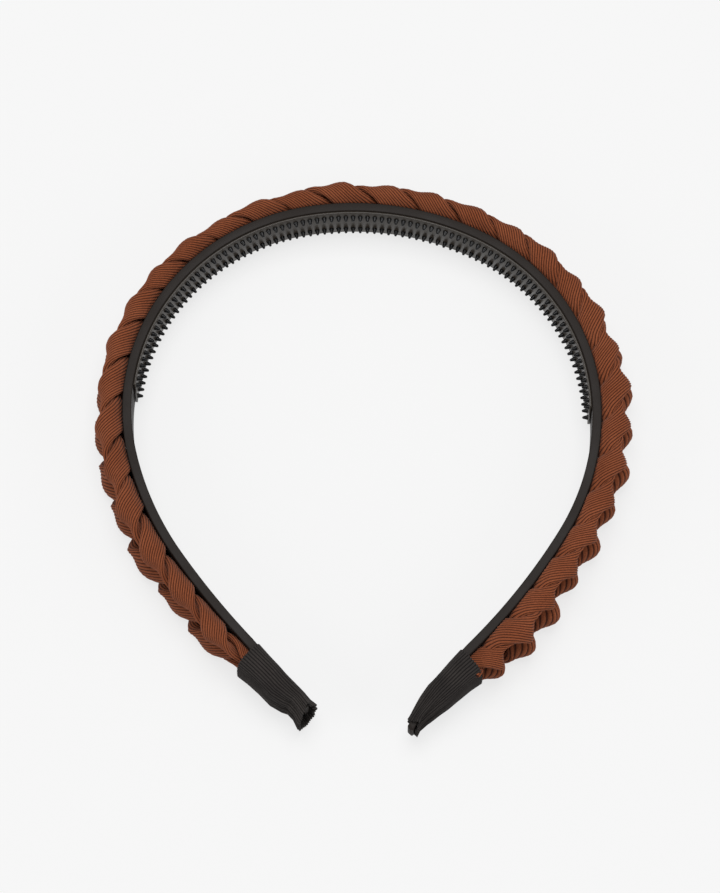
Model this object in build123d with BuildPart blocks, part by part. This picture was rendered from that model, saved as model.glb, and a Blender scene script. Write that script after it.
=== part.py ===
"""Braided headband lying on its side: a flat springy hoop with a toothed comb
liner inside its crown, a three-strand fabric plait along its outer face and a
gathered fabric sleeve over each end.

Millimetres. X runs across the band, +Y points from the open ends to the crown,
+Z runs across the hoop's width. The origin is the middle of the box's underside.
"""
from build123d import *
from math import ceil, copysign, cos, hypot, pi, radians, sin
import os

# Hoop: a flat strip bent edge to edge, its outer face on the arch line
hoop_thickness = 2.4
hoop_width = 11.6

# Arch line, from the left sleeve over the crown to the right sleeve
arch_start_heading = 132.0
arch_rows = [
    # radius, turn in degrees
    (220.0, 7.9),
    (85.3, 22.0),
    (59.1, 51.8),
    (56.5, 40.3),
    (73.0, 36.8),
    (57.4, 59.9),
    (68.5, 34.2),
    (170.9, 13.3),
]

# Tapered tongues that end the hoop inside the sleeves; the right one bends outward
tongue_tip_width = 4.6
tongue_tip_thickness = 1.8
left_tongue_length = 22.0
right_tongue_length = 25.5
tongue_bend_share = 0.45
right_tip_outward = 3.2

# Comb liner on the inner face of the crown
comb_thickness = 0.65
comb_width = 11.2
comb_gap = 0.1
comb_start = 81.4
comb_end = 266.5
tooth_length = 1.45
tooth_root_radius = 0.66
tooth_tip_radius = 0.42
tooth_pitch = 2.0
tooth_row_spacing = 6.8

# Three-strand plait on the outer face; its pitch shortens from left to right and its
# height wanders along the hoop
plait_rows = [
    # stretch of the arch line, pitch
    (45.0, 38.7),
    (58.0, 34.9),
    (110.0, 32.8),
    (140.0, 30.5),
]
plait_heights = [
    # distance along the arch line, height as a share of the usual one
    (0.0, 0.92),
    (20.0, 0.98),
    (45.0, 1.09),
    (95.0, 1.09),
    (110.0, 1.00),
    (133.0, 0.84),
    (150.0, 0.87),
    (165.0, 0.97),
    (200.0, 0.97),
    (230.0, 1.12),
    (260.0, 1.08),
    (275.0, 1.03),
    (300.0, 0.91),
    (316.0, 0.96),
    (330.0, 1.03),
    (341.0, 1.00),
]
plait_phase = 30.0
plait_swing = 5.85
plait_layer = 1.66
plait_advance = 0.05
plait_roll = 31.0
plait_gap = 0.15
strand_width = 5.9
strand_thickness = 1.95
strand_squareness = 2.3
strand_corners = 8
ring_spacing = 1.9
reach_samples = 72

# The plait is drawn in towards each sleeve
taper_length = 9.0
taper_share = 0.7

# Gathered sleeves: the mouth lies past the arch line's end, the strands are tucked in
sleeve_mouth_offset = 2.8
strand_tuck = 2.4
sleeve_wall = 0.8
sleeve_clearance = 0.28
sleeve_corner = 1.0
cut_past = 0.02
left_end_past_tongue = 1.4
right_tip_showing = 1.6
sleeve_rows = {
    # share of length, rise share over the tongue, width share, wall share
    "left": [
        (0.00, 1.00, 0.98, 1.0),
        (0.15, 1.00, 1.00, 1.0),
        (0.36, 0.68, 1.00, 1.0),
        (0.60, 0.58, 0.95, 1.0),
        (0.78, 0.24, 0.72, 1.1),
        (0.88, 0.20, 0.68, 1.2),
        (1.00, 0.40, 0.76, 1.2),
    ],
    "right": [
        (0.00, 1.00, 0.98, 1.0),
        (0.15, 1.00, 1.00, 1.0),
        (0.36, 0.66, 0.96, 1.0),
        (0.60, 0.40, 0.80, 1.0),
        (0.78, 0.14, 0.66, 1.0),
        (0.90, 0.05, 0.56, 1.0),
        (1.00, 0.06, 0.56, 1.0),
    ],
}


def arch_length():
    """Length of the arch line between the two tongues."""
    return sum(radius * radians(turn) for radius, turn in arch_rows)


def arch_frame(along):
    """Point of the arch line, its heading and its outward direction."""
    x, y, heading = 0.0, 0.0, radians(arch_start_heading)
    left = along
    for radius, turn in arch_rows:
        part_turn = min(max(left, 0.0) / radius, radians(turn))
        end = heading - part_turn
        x += radius * (sin(heading) - sin(end))
        y += radius * (cos(end) - cos(heading))
        left -= radius * part_turn
        heading = end
    x += left * cos(heading)
    y += left * sin(heading)
    return Vector(x, y, 0), Vector(cos(heading), sin(heading), 0), Vector(-sin(heading), cos(heading), 0)


def on_arch(along, out, across):
    """Point at a distance along the arch line, out from it and across the width."""
    point, _, outward = arch_frame(along)
    return point + outward * out + Vector(0, 0, across)


def section_plane(along, out):
    """Plane across the arch: its X points outward and its Y along the width."""
    _, heading, outward = arch_frame(along)
    return Plane(origin=on_arch(along, out, middle_height), x_dir=outward, z_dir=heading * -1)


def strand_section():
    """Corners of a strand's flattened section, as across and thickness offsets."""
    corners = []
    power = 2 / strand_squareness
    for index in range(strand_corners):
        angle = 2 * pi * index / strand_corners
        across = copysign(abs(cos(angle)) ** power, cos(angle)) * strand_width / 2
        thick = copysign(abs(sin(angle)) ** power, sin(angle)) * strand_thickness / 2
        corners.append((across, thick))
    return corners


def strand_ring(angle, size, pitch):
    """One ring of a strand, from a point of the plait's own middle line: along,
    across and out.

    The path is a flat figure of eight drawn out along the plait. The section
    faces outward from each loop and rolls so that its leading side lies on top
    at the middle, where the strands cross.
    """
    middle = Vector(pitch * plait_advance * sin(2 * angle) / (2 * pi),
                    size * plait_swing * sin(angle),
                    size * plait_layer * sin(2 * angle))
    step_along = pitch * (1 + 2 * plait_advance * cos(2 * angle)) / (2 * pi)
    step_across = size * plait_swing * cos(angle)
    step_out = 2 * size * plait_layer * cos(2 * angle)
    flat = hypot(step_across, step_out)
    face = Vector(0, -step_out / flat, step_across / flat)
    heading = Vector(step_along, step_across, step_out).normalized()
    side = face.cross(heading)
    side = side if side.X > 0 else side * -1
    roll = radians(plait_roll) * cos(angle)
    wide = side * cos(roll) + face * sin(roll)
    thin = face * cos(roll) - side * sin(roll)
    return [middle + wide * (a * size) + thin * (b * size) for a, b in strand_section()]


def plait_reach(axis):
    """How far the plait reaches from its own middle, across or out."""
    reach = 0.0
    for index in range(reach_samples):
        for point in strand_ring(2 * pi * index / reach_samples, 1.0, plait_rows[-1][1]):
            reach = max(reach, abs(getattr(point, axis)))
    return reach


def plait_turn(along):
    """Angle that the plait has turned through at a distance, and its pitch there."""
    angle, left = 0.0, along
    for stretch, pitch in plait_rows[:-1]:
        if left < stretch:
            return angle + 2 * pi * left / pitch, pitch
        angle += 2 * pi * stretch / pitch
        left -= stretch
    pitch = plait_rows[-1][1]
    return angle + 2 * pi * left / pitch, pitch


def plait_height_share(along):
    """How tall the plait stands at a distance, as a share of its usual height."""
    for (near, low), (far, high) in zip(plait_heights, plait_heights[1:]):
        if along < far:
            return low + (high - low) * max(along - near, 0.0) / (far - near)
    return plait_heights[-1][1]


plait_half_width = plait_reach("Y")
plait_half_height = plait_reach("Z")
middle_height = max(plait_half_width, hoop_width / 2)
total_arch = arch_length()


def drawn_in(along):
    """Share from 0 to 1 of how far the plait is drawn in near the sleeves."""
    nearest = min(along + sleeve_mouth_offset, total_arch + sleeve_mouth_offset - along)
    share = min(max(nearest / taper_length, 0.0), 1.0)
    return 1 - share * share * (3 - 2 * share)


def strand_rings(phase):
    """All rings of one strand, laid along the arch."""
    first = -(sleeve_mouth_offset + strand_tuck)
    last = total_arch + sleeve_mouth_offset + strand_tuck
    count = ceil((last - first) / ring_spacing)
    rings = []
    for index in range(count + 1):
        along = first + (last - first) * index / count
        turn, pitch = plait_turn(along)
        size = 1 - (1 - taper_share) * drawn_in(along)
        tall = plait_height_share(along)
        height = plait_gap + plait_half_height * size * tall
        ring = strand_ring(turn + phase, size, pitch)
        rings.append([on_arch(along + p.X, height + p.Z * tall, middle_height + p.Y) for p in ring])
    return rings


def faceted_solid(rings):
    """Closed solid of triangles through rings that have the same corner count."""
    triangles = []
    count = len(rings[0])
    for ring, following in zip(rings, rings[1:]):
        for index in range(count):
            beside = (index + 1) % count
            triangles.append((ring[index], ring[beside], following[beside]))
            triangles.append((ring[index], following[beside], following[index]))
    for cap in (rings[0], rings[-1]):
        for index in range(1, count - 1):
            triangles.append((cap[0], cap[index], cap[index + 1]))
    faces = [Face(Wire.make_polygon(corners)) for corners in triangles]
    return Solid(Shell(faces))


def arch_arcs(out, start, end):
    """Start, middle and end points of the arch line's arcs at an offset."""
    marks = [start]
    passed = 0.0
    for radius, turn in arch_rows:
        passed += radius * radians(turn)
        if start < passed < end:
            marks.append(passed)
    marks.append(end)
    arcs = []
    for near, far in zip(marks, marks[1:]):
        arcs.append([on_arch(along, out, 0) for along in (near, (near + far) / 2, far)])
    return arcs


def past_end(side, distance):
    """Distance along the arch line of a point past its left or right end."""
    return -distance if side == "left" else total_arch + distance


def tongue_section(side, reach):
    """A tongue's middle, thickness and width at a distance past the arch line's end."""
    length = left_tongue_length if side == "left" else right_tongue_length
    share = reach / length
    thickness = hoop_thickness + (tongue_tip_thickness - hoop_thickness) * share
    width = hoop_width + (tongue_tip_width - hoop_width) * share
    middle = -hoop_thickness / 2
    if side == "right" and share > tongue_bend_share:
        middle += right_tip_outward * (share - tongue_bend_share) / (1 - tongue_bend_share)
    return middle, thickness, width


def sleeve_length(side):
    """Length of a sleeve from its mouth to its cut end."""
    if side == "right":
        return right_tongue_length - sleeve_mouth_offset - right_tip_showing
    return left_tongue_length - sleeve_mouth_offset + left_end_past_tongue


def sleeve_sections(side, wall):
    """Planes and sizes of a sleeve's sections: of its hollow, or outside a wall."""
    rise = plait_gap + 2 * plait_half_height * taper_share
    sections = []
    for share, rise_share, width_share, wall_share in sleeve_rows[side]:
        reach = sleeve_mouth_offset + share * sleeve_length(side)
        if share in (0, 1) and not wall:
            reach += (share - 0.5) * cut_past
        middle, thickness, _ = tongue_section(side, reach)
        margin = sleeve_clearance + wall * wall_share
        low = middle - thickness / 2 - margin
        high = middle + thickness / 2 + rise * rise_share + margin
        wide = hoop_width * width_share + 2 * margin
        plane = section_plane(past_end(side, reach), (low + high) / 2)
        sections.append((plane, high - low, wide, sleeve_corner + wall * wall_share))
    return sections


# The hoop with its two tongues
with BuildPart() as hoop:
    with BuildSketch(Plane.XY.offset(middle_height - hoop_width / 2)):
        with BuildLine():
            for out in (0, -hoop_thickness):
                for arc in arch_arcs(out, 0, total_arch):
                    ThreePointArc(*arc)
            for end in (0, total_arch):
                Line(on_arch(end, 0, 0), on_arch(end, -hoop_thickness, 0))
        make_face()
    extrude(amount=hoop_width)
    for side, length in (("left", left_tongue_length), ("right", right_tongue_length)):
        for share in (0, tongue_bend_share, 1):
            middle, thickness, width = tongue_section(side, share * length)
            with BuildSketch(section_plane(past_end(side, share * length), middle)):
                Rectangle(thickness, width)
        loft(ruled=True)

# The comb liner with two rows of rounded teeth
comb_outer = -hoop_thickness - comb_gap
comb_inner = comb_outer - comb_thickness
with BuildPart() as comb:
    with BuildSketch(Plane.XY.offset(middle_height - comb_width / 2)):
        with BuildLine():
            for out in (comb_outer, comb_inner):
                for arc in arch_arcs(out, comb_start, comb_end):
                    ThreePointArc(*arc)
            for end in (comb_start, comb_end):
                Line(on_arch(end, comb_outer, 0), on_arch(end, comb_inner, 0))
        make_face()
    extrude(amount=comb_width)
    tooth_count = int((comb_end - comb_start) / tooth_pitch)
    tooth_places = []
    for row in (-1, 1):
        for number in range(tooth_count):
            along = comb_start + (number + 0.5) * (comb_end - comb_start) / tooth_count
            height = middle_height + row * tooth_row_spacing / 2
            root_point = on_arch(along, comb_inner + comb_thickness / 2, height)
            _, heading, outward = arch_frame(along)
            slant = heading + Vector(0, 0, 1)
            tooth_places.append(Plane(origin=root_point, x_dir=slant, z_dir=outward * -1).location)
    with Locations(*tooth_places):
        Cone(tooth_root_radius, tooth_tip_radius, tooth_length + comb_thickness / 2,
             align=(Align.CENTER, Align.CENTER, Align.MIN))

# Hollow sleeves over both ends
sleeves = {}
for side in ("left", "right"):
    with BuildPart() as sleeve:
        for wall, mode in ((sleeve_wall, Mode.ADD), (0, Mode.SUBTRACT)):
            for plane, tall, wide, corner in sleeve_sections(side, wall):
                with BuildSketch(plane):
                    RectangleRounded(tall, wide, corner)
            loft(mode=mode)
    sleeves["end_sleeve_" + side] = sleeve.part

# Three equal strands, a third of a pitch apart
strands = {}
for number, letter in enumerate("abc"):
    with BuildPart() as strand:
        add(faceted_solid(strand_rings(radians(plait_phase) + number * 2 * pi / 3)))
    strands["strand_" + letter] = strand.part

pieces = {
    "hoop": hoop.part,
    "comb": comb.part,
    **sleeves,
    **strands,
}

# The origin is the middle of the underside of the whole box
boxes = [piece.bounding_box() for piece in pieces.values()]
middle_x = (min(b.min.X for b in boxes) + max(b.max.X for b in boxes)) / 2
middle_y = (min(b.min.Y for b in boxes) + max(b.max.Y for b in boxes)) / 2
lowest = min(b.min.Z for b in boxes)
to_origin = Location((-middle_x, -middle_y, -lowest))
os.makedirs("parts", exist_ok=True)
for name, piece in pieces.items():
    placed = piece.moved(to_origin)
    placed.label = name
    export_step(placed, "parts/" + name + ".step")
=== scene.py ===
"""Looks of the braided headband: a plait of ribbed fabric on a matte hoop, with a
glossy toothed comb inside the crown and gathered sleeves over both ends.

Metres. X runs across the band, +Y points from the open ends to the crown and +Z
runs across the hoop's width. Most shapes are worked out along the arch line, the
hoop's outer face, by three distances: along it, out from it and across the width.
The near side is the one with the greater Z, which faces the camera.
"""
from math import cos, pi, radians, sin

import bpy
import numpy as np
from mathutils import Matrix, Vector


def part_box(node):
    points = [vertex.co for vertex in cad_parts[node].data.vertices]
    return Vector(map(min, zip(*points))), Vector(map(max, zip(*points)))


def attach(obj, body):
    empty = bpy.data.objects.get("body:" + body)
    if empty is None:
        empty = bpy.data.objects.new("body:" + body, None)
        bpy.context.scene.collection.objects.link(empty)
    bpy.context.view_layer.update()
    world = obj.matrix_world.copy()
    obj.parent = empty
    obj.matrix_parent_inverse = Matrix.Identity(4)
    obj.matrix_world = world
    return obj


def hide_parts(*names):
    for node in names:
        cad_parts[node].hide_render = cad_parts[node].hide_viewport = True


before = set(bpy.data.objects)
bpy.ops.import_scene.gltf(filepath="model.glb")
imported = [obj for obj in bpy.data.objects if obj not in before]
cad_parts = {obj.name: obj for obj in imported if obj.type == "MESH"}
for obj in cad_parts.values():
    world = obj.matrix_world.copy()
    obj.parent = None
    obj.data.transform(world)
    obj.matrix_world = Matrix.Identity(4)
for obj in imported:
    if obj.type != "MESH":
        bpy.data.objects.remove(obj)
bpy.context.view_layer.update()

# Hoop and arch line, as in the CAD
HOOP_THICKNESS = 0.0024
HOOP_WIDTH = 0.0116
HOOP_EDGE = 0.0003
ARCH_START_HEADING = 132.0
ARCH_ROWS = [
    # radius, turn in degrees
    (0.2200, 7.9),
    (0.0853, 22.0),
    (0.0591, 51.8),
    (0.0565, 40.3),
    (0.0730, 36.8),
    (0.0574, 59.9),
    (0.0685, 34.2),
    (0.1709, 13.3),
]
LEFT_TONGUE_LENGTH = 0.022
RIGHT_TONGUE_LENGTH = 0.0255
TONGUE_BEND_SHARE = 0.45
RIGHT_TIP_OUTWARD = 0.0032
TONGUE_TIP_WIDTH = 0.0046
TONGUE_TIP_THICKNESS = 0.0018

# How finely the hoop is cut
ARCH_RINGS = 340
LEFT_TONGUE_RINGS = 12
RIGHT_TONGUE_RINGS = 24
TONGUE_END_STEP = 0.001
CORNER_POINTS = 5

# Comb liner and its teeth
COMB_THICKNESS = 0.00065
COMB_WIDTH = 0.0112
COMB_GAP = 0.00004
COMB_START = 0.0814
COMB_END = 0.2665
COMB_EDGE = 0.00015
COMB_EDGE_ROUNDING = 0.3
COMB_RINGS = 300
TOOTH_LENGTH = 0.00145
TOOTH_ROOT_RADIUS = 0.00066
TOOTH_TIP_RADIUS = 0.00042
TOOTH_FOOT_SHARE = 1.15
TOOTH_FOOT_HEIGHT = 0.0002
TOOTH_POINT_SHARE = 0.05
TOOTH_TIP_RINGS = 4
TOOTH_PITCH = 0.0020
TOOTH_ROW_SPACING = 0.0068
TOOTH_SIDES = 12

# Three-strand plait: it turns as in the CAD, with heights that suit the soft strands
PLAIT_ROWS = [
    # stretch of the arch line, pitch
    (0.045, 0.0387),
    (0.058, 0.0349),
    (0.110, 0.0328),
    (0.140, 0.0305),
]
PLAIT_HEIGHTS = [
    # distance along the arch line, height as a share of the usual one
    (0.000, 0.92),
    (0.020, 0.99),
    (0.045, 1.09),
    (0.075, 1.08),
    (0.095, 1.04),
    (0.110, 0.95),
    (0.133, 0.78),
    (0.150, 0.82),
    (0.165, 0.95),
    (0.180, 0.93),
    (0.200, 0.93),
    (0.230, 1.13),
    (0.260, 1.17),
    (0.275, 1.16),
    (0.300, 1.08),
    (0.316, 1.14),
    (0.330, 1.30),
    (0.341, 1.30),
]
EARLIER_ROWS = [
    # distance along the arch line, how much earlier the turns come
    (0.000, -0.0015),
    (0.040, -0.0025),
    (0.067, -0.0010),
    (0.090, 0.0000),
    (0.131, 0.0030),
    (0.160, 0.0043),
    (0.180, 0.0026),
    (0.215, 0.0015),
    (0.255, 0.0020),
]
PLAIT_PHASE = 30.0
PLAIT_SWING = 0.0058
PLAIT_ADVANCE = 0.05
PLAIT_GAP = 0.00005
PLAIT_REACH = 0.0071
LEVEL_REACH = 0.017
TAPER_LENGTH = 0.009
TAPER_SHARE = 0.72

# The strands are pressed onto the hoop: not at the near edge, and fully from
# PRESSED_OVER inside it
PRESSED_IN = 0.0019
PRESSED_PER_LEAN = 0.006
PRESSED_FROM = 0.0058
PRESSED_OVER = 0.0040

# One strand: a folded band of ribbed fabric
STRAND_WIDTH = 0.0068
STRAND_THICKNESS = 0.0024
STRAND_SQUARENESS = 2.4
STRAND_CAMBER = 0.0003
STRAND_STEP = 0.0005
STRAND_TUCK = 0.0024
UNEVEN_SHARE = 0.035
UNEVEN_LENGTH = 0.047
RIBS_AROUND = 22
RIB_HEIGHT = 0.0002
RIB_SHAPE = [-1.0, 0.3, 1.0, 0.3]
HOLLOW_POWER = 1.5
STRAND_LOOK_ROWS = [
    # distance along the arch line, rise and fall of the path, share that the strand
    # widens at its crossings, depth of its hollow, turn of the hollow in degrees,
    # roll in degrees, lean of the plait as outward per distance across
    (0.215, 0.0014, 0.10, 0.0010, 30.0, 0.0, 0.00),
    (0.255, 0.0019, 0.20, 0.0030, 20.0, 20.0, 0.22),
]

# Sleeves
SLEEVE_MOUTH_OFFSET = 0.0028
SLEEVE_RIBS = 46
SLEEVE_RIB_HEIGHT = 0.00024
SLEEVE_LIP = 0.0006
MOUTH_LIP_STEPS = (0.0024, 0.0012, 0.0003)
END_LIP_STEPS = (0.0003, 0.0010, 0.0020)
SLEEVE_RINGS = 80
SLEEVE_FOLDS = 9
SLEEVE_FOLD_DEPTH = 0.00035
SLEEVE_FOLD_TWIST = 2.5
GATHERS_FROM_SHARE = 0.35
GATHERS_OVER_SHARE = 0.4
EDGE_SHARE = 0.15
SCALLOP = 0.00012
MOUTH_SLANT = 0.0011
END_SLANT = 0.0005
NOTCH_TURN_SPAN = 0.45
NOTCH_DEPTH = 0.0014
LEFT_NOTCH_TURN = 1.9
RIGHT_NOTCH_TURN = 1.2
LEFT_SLEEVE_ROWS = [
    # past the arch line's end, inner and outer reach, half width, squareness
    (0.0028, -0.0033, 0.0054, 0.0066, 2.8),
    (0.0060, -0.0032, 0.0049, 0.0067, 2.6),
    (0.0095, -0.0032, 0.0046, 0.0067, 2.6),
    (0.0141, -0.0031, 0.0044, 0.0063, 2.6),
    (0.0173, -0.0031, 0.0034, 0.0056, 2.4),
    (0.0188, -0.0031, 0.0026, 0.0051, 2.3),
    (0.0212, -0.0030, 0.0027, 0.0048, 2.2),
    (0.0236, -0.0033, 0.0036, 0.0050, 2.2),
]
RIGHT_SLEEVE_ROWS = [
    # past the arch line's end, inner and outer reach, half width, squareness
    (0.0028, -0.0033, 0.0056, 0.0066, 2.8),
    (0.0060, -0.0031, 0.0050, 0.0067, 2.6),
    (0.0095, -0.0028, 0.0047, 0.0065, 2.6),
    (0.0136, -0.0027, 0.0043, 0.0058, 2.6),
    (0.0170, -0.0020, 0.0038, 0.0049, 2.4),
    (0.0205, -0.0010, 0.0033, 0.0040, 2.3),
    (0.0228, -0.0003, 0.0032, 0.0036, 2.2),
    (0.0242, 0.0000, 0.0038, 0.0038, 2.2),
]

# Fabric: colour of the rib crests, painted shade in the valleys between the ribs and painted
# sheen on the crests
BRAID_CREST = (0.195, 0.053, 0.020, 1)
# Painted shade in the valleys between the braid's ribs
BRAID_VALLEY_PAINTED_SHADE = (0.026, 0.0055, 0.0022, 1)
# Painted sheen on the braid's rib crests
BRAID_PAINTED_SHEEN = (0.27, 0.085, 0.038, 1)
SLEEVE_CREST = (0.020, 0.017, 0.016, 1)
# Painted shade in the valleys between the sleeves' ribs
SLEEVE_VALLEY_PAINTED_SHADE = (0.003, 0.0026, 0.0026, 1)
# Painted sheen on the sleeves' rib crests
SLEEVE_PAINTED_SHEEN = (0.060, 0.052, 0.047, 1)
# Size and strength of the patches of painted sheen on the rib crests
SHEEN_PATCH_SCALE = 120.0
SHEEN_PATCH_SHARE = 0.35
FUZZ_SCALE = 2600.0
FUZZ_DARKEST = 0.82
FUZZ_LIGHTEST = 1.12
VALLEY_RIB = -0.8
CREST_RIB = 0.5
THREAD_SPACING = 0.00042
THREAD_RELIEF = 0.35
FABRIC_BUMP = 0.35
FABRIC_BUMP_HEIGHT = 0.00006
FABRIC_SHEEN_ROUGHNESS = 0.5
FABRIC_SPECULAR = 0.1

# Plastic
HOOP_COLOR = (0.013, 0.0100, 0.0085, 1)
HOOP_LIGHTER = (0.017, 0.0130, 0.0110, 1)
COMB_COLOR = (0.022, 0.017, 0.013, 1)
COMB_LIGHTER = (0.030, 0.024, 0.018, 1)
TOOTH_COLOR = (0.003, 0.003, 0.0035, 1)
MOTTLE_SCALE = 90.0
GRAIN_SCALE = 1800.0
GRAIN_HEIGHT = 0.00003

# Range that soft noise mostly keeps to
NOISE_LOW = 0.3
NOISE_HIGH = 0.7

# Floor, lights and camera
FLOOR_HALF = 3.0
FLOOR_COLOR = 0.15
FLOOR_GLOW = 0.74
FLOOR_ROUGHNESS = 0.9
TOP_LIGHT_SPOT = (0.0, 0.3, 1.6)
TOP_LIGHT_SIZE = 1.2
TOP_POWER = 24.0
SIDE_LIGHT_SPOT = (1.1, -0.55, 0.5)
SIDE_LIGHT_SIZE = 0.7
SIDE_POWER = 5.0
WORLD_STRENGTH = 0.3
CAMERA_ELEVATION = 67.0
CAMERA_DISTANCE = 1.0
CAMERA_LENS = 103.4
CAMERA_SENSOR_HEIGHT = 24.0
AIM_FROM_HOOP_RIGHT = 0.06269
AIM_FROM_HOOP_CROWN = 0.06787
AIM_HEIGHT = 0.00702


def arch_frames(along):
    """Points of the arch line, headings and outward directions at these distances."""
    left = np.array(along, float)
    x, y = np.zeros_like(left), np.zeros_like(left)
    heading = np.full_like(left, radians(ARCH_START_HEADING))
    for radius, turn in ARCH_ROWS:
        part_turn = np.clip(left / radius, 0, radians(turn))
        end = heading - part_turn
        x += radius * (np.sin(heading) - np.sin(end))
        y += radius * (np.cos(end) - np.cos(heading))
        left = left - radius * part_turn
        heading = end
    x += left * np.cos(heading)
    y += left * np.sin(heading)
    flat = np.zeros_like(x)
    return (np.stack([x, y, flat], -1),
            np.stack([np.cos(heading), np.sin(heading), flat], -1),
            np.stack([-np.sin(heading), np.cos(heading), flat], -1))


TOTAL_ARCH = sum(radius * radians(turn) for radius, turn in ARCH_ROWS)
ARCH_SAMPLES = 4000
hoop_low, hoop_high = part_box("hoop")
arch_points = arch_frames(np.linspace(0, TOTAL_ARCH, ARCH_SAMPLES))[0]
ARCH_ORIGIN = np.array([
    hoop_high.x - arch_points[:, 0].max(),
    hoop_high.y - arch_points[:, 1].max(),
    (hoop_low.z + hoop_high.z) / 2,
])


def place(along, out, across):
    """Points at distances along the arch line, out from it and across the width."""
    along, out, across = np.broadcast_arrays(along, out, across)
    point, _, outward = arch_frames(along)
    points = point + outward * out[..., None] + ARCH_ORIGIN
    points[..., 2] += across
    return points


def mesh_object(name, points, faces):
    """A smooth mesh piece that rides on the band."""
    mesh = bpy.data.meshes.new(name)
    mesh.from_pydata([tuple(p) for p in points], [], faces)
    mesh.validate()
    mesh.polygons.foreach_set("use_smooth", [True] * len(mesh.polygons))
    mesh.update()
    piece = bpy.data.objects.new(name, mesh)
    bpy.context.collection.objects.link(piece)
    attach(piece, "root")
    return piece


def ring_faces(ring_count, points_around, first=0):
    """Faces that join rings of points into a closed tube."""
    faces = []
    for ring in range(ring_count - 1):
        low = first + ring * points_around
        high = low + points_around
        for index in range(points_around):
            beside = (index + 1) % points_around
            faces.append((low + index, low + beside, high + beside, high + index))
    last = first + (ring_count - 1) * points_around
    faces.append(tuple(range(first + points_around - 1, first - 1, -1)))
    faces.append(tuple(range(last, last + points_around)))
    return faces


def add_values(piece, name, values):
    """Store one number per point, for the piece's material."""
    attribute = piece.data.attributes.new(name, "FLOAT", "POINT")
    attribute.data.foreach_set("value", np.ravel(values))


def even_loop(corners, count):
    """Points spaced evenly around a closed outline, and its outward directions."""
    closed = np.vstack([corners, corners[:1]])
    lengths = np.hypot(*np.diff(closed, axis=0).T)
    marks = np.concatenate([[0], np.cumsum(lengths)])
    wanted = np.arange(count) / count * marks[-1]
    loop = np.stack([np.interp(wanted, marks, closed[:, i]) for i in (0, 1)], -1)
    step = np.roll(loop, -1, 0) - np.roll(loop, 1, 0)
    outward = np.stack([step[:, 1], -step[:, 0]], -1)
    return loop, outward / np.linalg.norm(outward, axis=1)[:, None]


def super_ellipse(half_wide, half_tall, power, count=720):
    """Corners of a rounded outline, from an ellipse at power 2 to a box."""
    angle = np.arange(count) * 2 * pi / count
    wide = np.sign(np.cos(angle)) * abs(np.cos(angle)) ** (2 / power) * half_wide
    tall = np.sign(np.sin(angle)) * abs(np.sin(angle)) ** (2 / power) * half_tall
    return np.stack([wide, tall], -1)


def rib_profile(count):
    """Height of the surface at each point around: round ribs with sharp valleys."""
    return np.tile(RIB_SHAPE, count)


def drawn_in(along):
    """Share from 0 to 1 of how far the plait is drawn in near the sleeves."""
    from_left = along + SLEEVE_MOUTH_OFFSET
    from_right = TOTAL_ARCH + SLEEVE_MOUTH_OFFSET - along
    share = np.clip(np.minimum(from_left, from_right) / TAPER_LENGTH, 0, 1)
    return 1 - share * share * (3 - 2 * share)


def plait_turn(along):
    """Angle that the plait has turned through at these distances."""
    stretches, pitches = np.array(PLAIT_ROWS).T
    marks = np.concatenate([[0], np.cumsum(stretches)])
    turns = np.concatenate([[0], np.cumsum(2 * pi * stretches / pitches)])
    return np.interp(along, marks, turns) + np.minimum(along, 0) * 2 * pi / pitches[0]


def level_top(top):
    """Greatest height of a strand within about a turn of the plait, evened out."""
    window = int(LEVEL_REACH / STRAND_STEP)
    spread = np.pad(top, 2 * window, mode="edge")
    highest = np.lib.stride_tricks.sliding_window_view(spread, 2 * window + 1).max(-1)
    return np.convolve(highest, np.ones(2 * window + 1) / (2 * window + 1), "valid")


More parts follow.
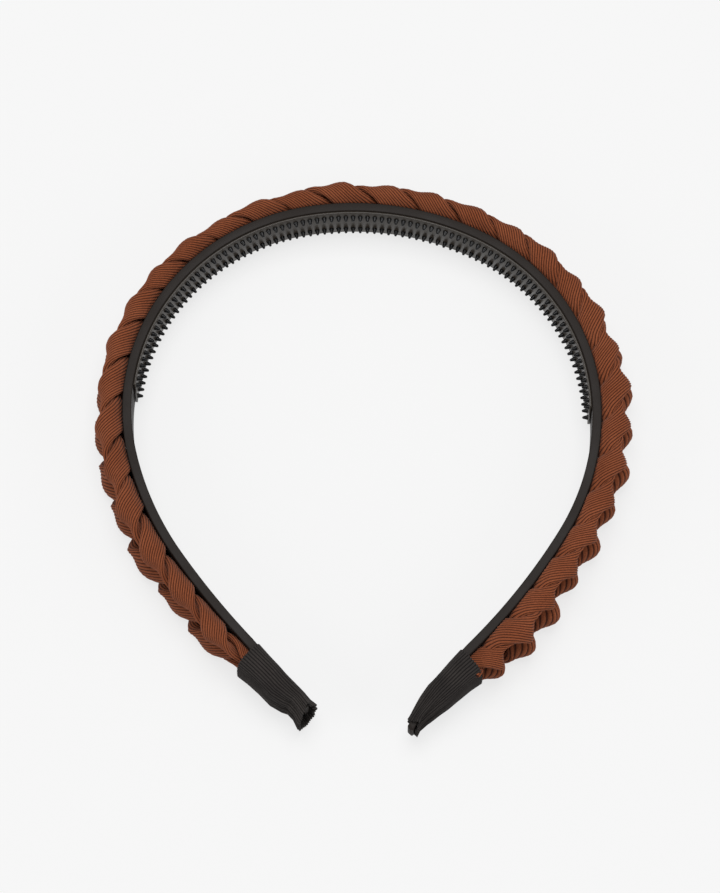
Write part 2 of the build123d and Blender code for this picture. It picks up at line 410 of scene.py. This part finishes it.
def strand_piece(name, phase):
    """One strand of the plait: a soft flattened band with ribs along it.

    The strand swings across the hoop once a turn and rises and falls twice. It
    widens and hollows at its crossings, and on the right arm it also rolls and leans.
    """
    reach = SLEEVE_MOUTH_OFFSET + STRAND_TUCK
    along = np.arange(-reach, TOTAL_ARCH + reach, STRAND_STEP)
    look = np.array(STRAND_LOOK_ROWS)
    layer, wider, hollow, hollow_turn, roll_size, lean = (
        np.interp(along, look[:, 0], look[:, i]) for i in range(1, 7))
    tall = np.interp(along, *np.array(PLAIT_HEIGHTS).T)
    earlier = np.interp(along, *np.array(EARLIER_ROWS).T)
    angle = plait_turn(along + earlier) + phase
    pitch = 2 * pi / np.gradient(angle, along)
    size = 1 - (1 - TAPER_SHARE) * drawn_in(along)
    size = size * (1 + UNEVEN_SHARE * np.sin(2 * pi * along / UNEVEN_LENGTH + 2 * phase))

    # The strand's middle line, and the directions across its width and thickness
    middle = np.stack([along + pitch * PLAIT_ADVANCE * np.sin(2 * angle) / (2 * pi),
                       size * PLAIT_SWING * np.sin(angle),
                       size * layer * np.sin(2 * angle)], -1)
    step = np.gradient(middle, angle, axis=0)
    heading = step / np.linalg.norm(step, axis=1)[:, None]
    face = np.stack([0 * angle, -step[:, 2], step[:, 1]], -1)
    face /= np.linalg.norm(face, axis=1)[:, None]
    side = np.cross(face, heading)
    side *= np.sign(side[:, :1])
    roll = (np.radians(roll_size) * np.cos(angle))[:, None]
    wide = side * np.cos(roll) + face * np.sin(roll)
    thin = face * np.cos(roll) - side * np.sin(roll)

    # Its ribbed section
    outline = super_ellipse(STRAND_WIDTH / 2, STRAND_THICKNESS / 2, STRAND_SQUARENESS)
    loop, loop_outward = even_loop(outline, RIBS_AROUND * len(RIB_SHAPE))
    loop[:, 1] -= STRAND_CAMBER * (loop[:, 0] / (STRAND_WIDTH / 2)) ** 2
    ribs = rib_profile(RIBS_AROUND)
    loop = loop + loop_outward * (ribs * RIB_HEIGHT / 2)[:, None]

    # The section carried along the line, with its hollows
    widen = 1 + wider * np.cos(2 * angle)
    across_share = np.clip(loop[:, 0] / (STRAND_WIDTH / 2), -1, 1)
    hollow_share = np.cos(2 * (angle - np.radians(hollow_turn)))
    hollow_share = np.clip(hollow_share, 0, 1) ** HOLLOW_POWER
    sunk = (hollow * hollow_share)[:, None] * (1 - across_share ** 2)[None, :]
    from_middle = loop[:, :1] * (size * widen)[:, None, None]
    lifted = ((loop[:, 1] / widen[:, None] - sunk) * size[:, None])[..., None]
    points = middle[:, None] + wide[:, None] * from_middle + thin[:, None] * lifted

    # Leant, brought to the plait's height and pressed onto the hoop
    points[..., 2] += lean[:, None] * points[..., 1]
    height = size * (PLAIT_REACH - level_top(points[..., 2].max(1) / size))
    out = (height[:, None] + points[..., 2]) * tall[:, None]
    pressed_share = np.clip((PRESSED_FROM - points[..., 1]) / PRESSED_OVER, 0, 1)
    pressed = (PRESSED_IN + PRESSED_PER_LEAN * lean)[:, None] * pressed_share
    out = np.maximum(out - pressed * (1 - out / PLAIT_REACH), PLAIT_GAP)
    placed = place(points[..., 0], out, points[..., 1])
    placed[..., 2] = np.maximum(placed[..., 2], 0)
    piece = mesh_object(name, placed.reshape(-1, 3), ring_faces(len(along), len(loop)))
    # Rib heights, from which the material paints shade into the valleys
    add_values(piece, "rib", np.tile(ribs, len(along)))
    steps = np.linalg.norm(np.diff(middle, axis=0), axis=1)
    distance = np.concatenate([[0], np.cumsum(steps)])
    add_values(piece, "thread", np.repeat(distance, len(loop)))
    return piece


def tongue_outward(share):
    """How far the right tongue is bent outward at a share of its length."""
    return RIGHT_TIP_OUTWARD * max(share - TONGUE_BEND_SHARE, 0) / (1 - TONGUE_BEND_SHARE)


def hoop_piece():
    """The springy strip with softly rounded edges and its two tapering tongues."""
    corner = np.arange(CORNER_POINTS) * pi / 2 / (CORNER_POINTS - 1)
    corner_signs = ((1, 1), (-1, 1), (-1, -1), (1, -1))
    low, high = -LEFT_TONGUE_LENGTH, TOTAL_ARCH + RIGHT_TONGUE_LENGTH
    marks = np.concatenate([
        [low, low + HOOP_EDGE],
        np.linspace(low + TONGUE_END_STEP, 0, LEFT_TONGUE_RINGS)[:-1],
        np.linspace(0, TOTAL_ARCH, ARCH_RINGS),
        np.linspace(TOTAL_ARCH, high - TONGUE_END_STEP, RIGHT_TONGUE_RINGS)[1:],
        [high - HOOP_EDGE, high]])
    rings = []
    for along in marks:
        right_share = (along - TOTAL_ARCH) / RIGHT_TONGUE_LENGTH
        share = max(-along / LEFT_TONGUE_LENGTH, right_share, 0)
        half_tall = (HOOP_THICKNESS + (TONGUE_TIP_THICKNESS - HOOP_THICKNESS) * share) / 2
        half_wide = (HOOP_WIDTH + (TONGUE_TIP_WIDTH - HOOP_WIDTH) * share) / 2
        rounding = 0.0 if along in (low, high) else HOOP_EDGE
        ring = []
        for quarter, (sign_tall, sign_wide) in enumerate(corner_signs):
            for turn in corner + quarter * pi / 2:
                tall = sign_tall * (half_tall - HOOP_EDGE) + rounding * cos(turn)
                wide = sign_wide * (half_wide - HOOP_EDGE) + rounding * sin(turn)
                ring.append((tall - HOOP_THICKNESS / 2 + tongue_outward(right_share), wide))
        ring = np.array(ring)
        rings.append(place(along, ring[:, 0], ring[:, 1]))
    points_around = len(corner_signs) * CORNER_POINTS
    return mesh_object("hoop_band", np.concatenate(rings),
                       ring_faces(len(rings), points_around))


def comb_piece():
    """The toothed liner: a thin strip and its two rows of rounded teeth."""
    outer = -HOOP_THICKNESS - COMB_GAP
    inner = outer - COMB_THICKNESS
    half = COMB_WIDTH / 2
    rounding = COMB_EDGE * COMB_EDGE_ROUNDING
    one_side = [(outer, half - COMB_EDGE), (outer - COMB_EDGE, half),
                (inner + COMB_EDGE, half), (inner + rounding, half - rounding),
                (inner, half - COMB_EDGE)]
    section = np.array(one_side + [(out, -across) for out, across in reversed(one_side)])
    marks = np.linspace(COMB_START, COMB_END, COMB_RINGS)
    points = [place(along, section[:, 0], section[:, 1]) for along in marks]
    faces = ring_faces(len(marks), len(section))
    first = liner_count = len(marks) * len(section)

    # Radius and height of a tooth's rings, from foot to tip
    profile = [(TOOTH_ROOT_RADIUS * TOOTH_FOOT_SHARE, -COMB_EDGE),
               (TOOTH_ROOT_RADIUS, TOOTH_FOOT_HEIGHT)]
    for turn in np.linspace(0, pi / 2, TOOTH_TIP_RINGS):
        profile.append((TOOTH_TIP_RADIUS * max(cos(turn), TOOTH_POINT_SHARE),
                        TOOTH_LENGTH - TOOTH_TIP_RADIUS + TOOTH_TIP_RADIUS * sin(turn)))
    sides = np.arange(TOOTH_SIDES) * 2 * pi / TOOTH_SIDES
    tooth_count = int((COMB_END - COMB_START) / TOOTH_PITCH)
    for row in (-1, 1):
        for number in range(tooth_count):
            along = COMB_START + (number + 0.5) * (COMB_END - COMB_START) / tooth_count
            across = row * TOOTH_ROW_SPACING / 2
            for radius, height in profile:
                points.append(place(along + radius * np.cos(sides), inner - height,
                                    across + radius * np.sin(sides)))
            faces += ring_faces(len(profile), TOOTH_SIDES, first)
            first += len(profile) * TOOTH_SIDES
    piece = mesh_object("comb_liner", np.concatenate(points), faces)
    add_values(piece, "tooth", (np.arange(first) >= liner_count).astype(float))
    return piece


def sleeve_piece(name, side, rows, notch_turn):
    """A ribbed fabric tube, gathered and flattened towards its cut end."""
    table = np.array(rows)
    start, end = table[0, 0], table[-1, 0]
    ribs = rib_profile(SLEEVE_RIBS)
    points_around = len(ribs)
    around = np.arange(points_around) * 2 * pi / points_around
    mouth_edge = SCALLOP * ribs + MOUTH_SLANT * (1 - np.cos(around)) / 2
    notch = np.exp(-((around - notch_turn) / NOTCH_TURN_SPAN) ** 2)
    end_edge = SCALLOP * ribs + END_SLANT * np.cos(around) - NOTCH_DEPTH * notch
    rings, rib_values, thread_values = [], [], []

    def ring(reach, inward):
        """Add one ring at a distance past the arch line's end, drawn in from the surface."""
        low, high, half, power = (np.interp(reach, table[:, 0], table[:, i])
                                  for i in range(1, 5))
        outline = super_ellipse((high - low) / 2 - inward, half - inward, power)
        loop, outward = even_loop(outline, points_around)
        share = (reach - start) / (end - start)
        gathered = np.clip((share - GATHERS_FROM_SHARE) / GATHERS_OVER_SHARE, 0, 1)
        folds = SLEEVE_FOLD_DEPTH * gathered * np.sin(
            SLEEVE_FOLDS * around + SLEEVE_FOLD_TWIST * share)
        loop = loop + outward * (ribs * SLEEVE_RIB_HEIGHT / 2 + folds)[:, None]
        near_mouth = np.clip(1 - share / EDGE_SHARE, 0, 1)
        near_end = np.clip((share - (1 - EDGE_SHARE)) / EDGE_SHARE, 0, 1)
        past = reach - mouth_edge * near_mouth + end_edge * near_end
        along = -past if side == "left" else TOTAL_ARCH + past
        rings.append(place(along, loop[:, 0] + (low + high) / 2, loop[:, 1]))
        rib_values.append(ribs)
        thread_values.append(np.full(points_around, reach))

    for step in MOUTH_LIP_STEPS:
        ring(start + step, SLEEVE_LIP)
    ring(start, SLEEVE_LIP / 2)
    for reach in np.linspace(start, end, SLEEVE_RINGS):
        ring(reach, 0.0)
    ring(end, SLEEVE_LIP / 2)
    for step in END_LIP_STEPS:
        ring(end - step, SLEEVE_LIP)
    piece = mesh_object(name, np.concatenate(rings), ring_faces(len(rings), points_around))
    # Rib heights, from which the material paints shade into the valleys
    add_values(piece, "rib", np.concatenate(rib_values))
    add_values(piece, "thread", np.concatenate(thread_values))
    return piece


def new_material(name):
    """A material with its shader, and a short way to add linked nodes."""
    material = bpy.data.materials.new(name)
    material.use_nodes = True
    nodes, links = material.node_tree.nodes, material.node_tree.links
    shader = nodes["Principled BSDF"]

    def node(kind, inputs=(), **settings):
        """Add a node, and set or link its inputs."""
        made = nodes.new(kind)
        for key, value in settings.items():
            setattr(made, key, value)
        for key, value in dict(inputs).items():
            if isinstance(value, bpy.types.NodeSocket):
                links.new(value, made.inputs[key])
            else:
                made.inputs[key].default_value = value
        return made

    return material, shader, node, links


def noise(node, scale, detail):
    """Soft noise that stays with the piece."""
    places = node("ShaderNodeTexCoord").outputs["Object"]
    made = node("ShaderNodeTexNoise", {"Vector": places, "Scale": scale, "Detail": detail})
    return made.outputs["Fac"]


def spread(node, value, low, high):
    """Noise spread out between two values."""
    made = node("ShaderNodeMapRange", {"Value": value, "To Min": low, "To Max": high,
                                       "From Min": NOISE_LOW, "From Max": NOISE_HIGH})
    return made.outputs["Result"]


def mixed_color(node, share, first, second):
    """The first colour turned into the second by a share."""
    made = node("ShaderNodeMixRGB", {"Fac": share, "Color1": first, "Color2": second})
    return made.outputs["Color"]


def fabric_material(name, crest, valley_painted_shade, painted_sheen, sheen, rough):
    """Ribbed fabric: painted shade between the ribs, painted sheen in patches on their crests,
    fine cross threads and soft fuzz.
    """
    material, shader, node, links = new_material(name)
    rib = node("ShaderNodeAttribute", attribute_name="rib").outputs["Fac"]
    thread = node("ShaderNodeAttribute", attribute_name="thread").outputs["Fac"]
    sheen_patches = noise(node, SHEEN_PATCH_SCALE, 3.0)
    fuzz = noise(node, FUZZ_SCALE, 2.0)

    # Colour: painted shade in the valleys between the ribs, then patches of painted sheen on
    # their crests, then speckle
    depth = node("ShaderNodeMapRange", {"Value": rib, "From Min": VALLEY_RIB,
                                        "From Max": CREST_RIB}).outputs["Result"]
    base = mixed_color(node, depth, valley_painted_shade, crest)
    # Painted sheen: noise patches, only on the rib crests
    lit = node("ShaderNodeMath", {0: spread(node, sheen_patches, 0.0, SHEEN_PATCH_SHARE), 1: depth},
               operation="MULTIPLY").outputs["Value"]
    speckle = spread(node, fuzz, FUZZ_DARKEST, FUZZ_LIGHTEST)
    shaded = node("ShaderNodeVectorMath", {0: mixed_color(node, lit, base, painted_sheen), 1: speckle},
                  operation="MULTIPLY")
    links.new(shaded.outputs["Vector"], shader.inputs["Base Color"])

    # Relief: cross threads and fuzz
    turns = node("ShaderNodeMath", {0: thread, 1: 2 * pi / THREAD_SPACING},
                 operation="MULTIPLY").outputs["Value"]
    wave = node("ShaderNodeMath", {0: turns}, operation="SINE").outputs["Value"]
    relief = node("ShaderNodeMath", {0: wave, 1: THREAD_RELIEF, 2: fuzz},
                  operation="MULTIPLY_ADD").outputs["Value"]
    bump = node("ShaderNodeBump", {"Height": relief, "Strength": FABRIC_BUMP,
                                   "Distance": FABRIC_BUMP_HEIGHT})
    links.new(bump.outputs["Normal"], shader.inputs["Normal"])
    shader.inputs["Roughness"].default_value = rough
    shader.inputs["Sheen Weight"].default_value = sheen
    shader.inputs["Sheen Roughness"].default_value = FABRIC_SHEEN_ROUGHNESS
    shader.inputs["Specular IOR Level"].default_value = FABRIC_SPECULAR
    return material


def plastic_material(name, color, lighter, rough_low, rough_high, grain, gloss,
                     tooth_color=None):
    """Moulded plastic: faint mottling in colour, gloss and relief.

    With a tooth colour, the points marked as teeth have that colour instead.
    """
    material, shader, node, links = new_material(name)
    mottle = noise(node, MOTTLE_SCALE, 4.0)
    fine = noise(node, GRAIN_SCALE, 2.0)
    shown = mixed_color(node, mottle, color, lighter)
    if tooth_color:
        tooth = node("ShaderNodeAttribute", attribute_name="tooth").outputs["Fac"]
        shown = mixed_color(node, tooth, shown, tooth_color)
    links.new(shown, shader.inputs["Base Color"])
    links.new(spread(node, mottle, rough_low, rough_high), shader.inputs["Roughness"])
    bump = node("ShaderNodeBump", {"Height": fine, "Strength": grain,
                                   "Distance": GRAIN_HEIGHT})
    links.new(bump.outputs["Normal"], shader.inputs["Normal"])
    shader.inputs["Specular IOR Level"].default_value = gloss
    return material


def finish_piece(piece, material, node):
    """Give a piece its material and hide the CAD node it stands for."""
    piece.data.materials.append(material)
    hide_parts(node)


braid_fabric = fabric_material("braid_fabric", BRAID_CREST, BRAID_VALLEY_PAINTED_SHADE, BRAID_PAINTED_SHEEN,
                               sheen=0.08, rough=0.9)
sleeve_fabric = fabric_material("sleeve_fabric", SLEEVE_CREST, SLEEVE_VALLEY_PAINTED_SHADE,
                                SLEEVE_PAINTED_SHEEN, sheen=0.06, rough=0.85)
hoop_plastic = plastic_material("hoop_plastic", HOOP_COLOR, HOOP_LIGHTER, rough_low=0.45,
                                rough_high=0.6, grain=0.3, gloss=0.12)
comb_plastic = plastic_material("comb_plastic", COMB_COLOR, COMB_LIGHTER, rough_low=0.25,
                                rough_high=0.4, grain=0.15, gloss=0.28,
                                tooth_color=TOOTH_COLOR)

finish_piece(hoop_piece(), hoop_plastic, "hoop")
finish_piece(comb_piece(), comb_plastic, "comb")
for number, letter in enumerate("abc"):
    strand = strand_piece("plait_" + letter, radians(PLAIT_PHASE) + number * 2 * pi / 3)
    finish_piece(strand, braid_fabric, "strand_" + letter)
for side, rows, notch_turn in (("left", LEFT_SLEEVE_ROWS, LEFT_NOTCH_TURN),
                               ("right", RIGHT_SLEEVE_ROWS, RIGHT_NOTCH_TURN)):
    sleeve = sleeve_piece("sleeve_" + side, side, rows, notch_turn)
    finish_piece(sleeve, sleeve_fabric, "end_sleeve_" + side)

# Pale floor
floor = bpy.data.objects.new("floor", bpy.data.meshes.new("floor"))
floor_corners = [(FLOOR_HALF * x, FLOOR_HALF * y, 0)
                 for x, y in ((-1, -1), (1, -1), (1, 1), (-1, 1))]
floor.data.from_pydata(floor_corners, [], [(0, 1, 2, 3)])
bpy.context.collection.objects.link(floor)
floor_material, floor_shader, _, _ = new_material("floor_paper")
floor_shader.inputs["Base Color"].default_value = (FLOOR_COLOR, FLOOR_COLOR, FLOOR_COLOR, 1)
floor_shader.inputs["Emission Color"].default_value = (1, 1, 1, 1)
floor_shader.inputs["Emission Strength"].default_value = FLOOR_GLOW
floor_shader.inputs["Roughness"].default_value = FLOOR_ROUGHNESS
floor_shader.inputs["Specular IOR Level"].default_value = 0.0
floor.data.materials.append(floor_material)


def area_light(name, spot, size, power):
    """A square soft light that faces the middle of the band."""
    light = bpy.data.lights.new(name, "AREA")
    light.shape = "SQUARE"
    light.size = size
    light.energy = power
    lamp = bpy.data.objects.new(name, light)
    lamp.location = spot
    lamp.rotation_euler = (-Vector(spot)).to_track_quat("-Z", "Y").to_euler()
    bpy.context.collection.objects.link(lamp)


side_x, side_y, side_z = SIDE_LIGHT_SPOT
area_light("top_light", TOP_LIGHT_SPOT, TOP_LIGHT_SIZE, TOP_POWER)
area_light("left_light", (-side_x, side_y, side_z), SIDE_LIGHT_SIZE, SIDE_POWER)
area_light("right_light", (side_x, side_y, side_z), SIDE_LIGHT_SIZE, SIDE_POWER)

world = bpy.data.worlds.new("studio")
world.use_nodes = True
world.node_tree.nodes["Background"].inputs["Color"].default_value = (1, 1, 1, 1)
world.node_tree.nodes["Background"].inputs["Strength"].default_value = WORLD_STRENGTH
bpy.context.scene.world = world
bpy.context.scene.view_settings.view_transform = "Standard"

# Camera at the photograph's angle
camera_aim = Vector((hoop_high.x - AIM_FROM_HOOP_RIGHT, hoop_high.y - AIM_FROM_HOOP_CROWN,
                     AIM_HEIGHT))
camera = bpy.data.objects.new("camera", bpy.data.cameras.new("camera"))
camera.data.sensor_fit = "VERTICAL"
camera.data.sensor_height = CAMERA_SENSOR_HEIGHT
camera.data.lens = CAMERA_LENS
tilt = radians(CAMERA_ELEVATION)
camera.location = camera_aim + CAMERA_DISTANCE * Vector((0, -cos(tilt), sin(tilt)))
camera.rotation_euler = (radians(90) - tilt, 0, 0)
bpy.context.collection.objects.link(camera)
bpy.context.scene.camera = camera
